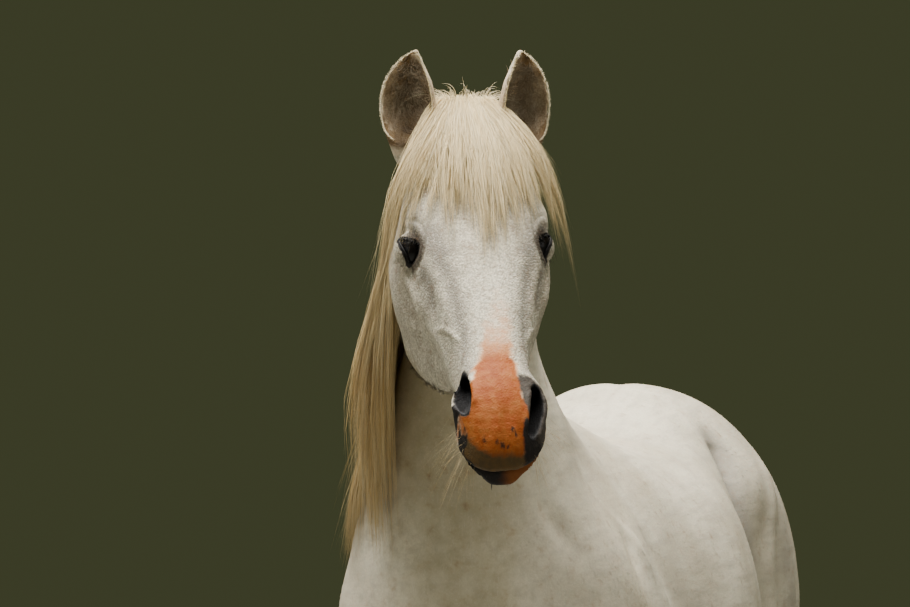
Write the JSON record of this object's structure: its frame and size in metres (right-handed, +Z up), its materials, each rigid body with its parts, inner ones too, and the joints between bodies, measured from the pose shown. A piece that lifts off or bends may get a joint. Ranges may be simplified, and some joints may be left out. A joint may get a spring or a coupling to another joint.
{
  "type": "horse",
  "caption": "Life-size still model of a pale grey riding horse standing square, head raised and turned to its left, with full mane, forelock and tail.",
  "frame": {"origin": "on the floor, under the middle of the model's box", "axes": "+Z up, the horse faces -Y, its left side is +X"},
  "size_m": [0.5604, 2.1686, 1.9649],
  "materials": {
    "coat": "short pale hair over skin",
    "eye": "wet and glossy",
    "hoof": "horn with fine growth rings",
    "hair": "long cream to straw hair"
  },
  "bodies": {
    "root": {"head": "coat", "neck": "coat", "torso": "coat", "leg_front_left": "coat", "leg_front_right": "coat", "leg_hind_left": "coat", "leg_hind_right": "coat", "ear_left": "coat", "ear_right": "coat", "eye_left": "eye", "eye_right": "eye", "hoof_front_left": "hoof", "hoof_front_right": "hoof", "hoof_hind_left": "hoof", "hoof_hind_right": "hoof", "mane": "hair", "forelock": "hair", "tail": "hair"}
  },
  "joints": []
}
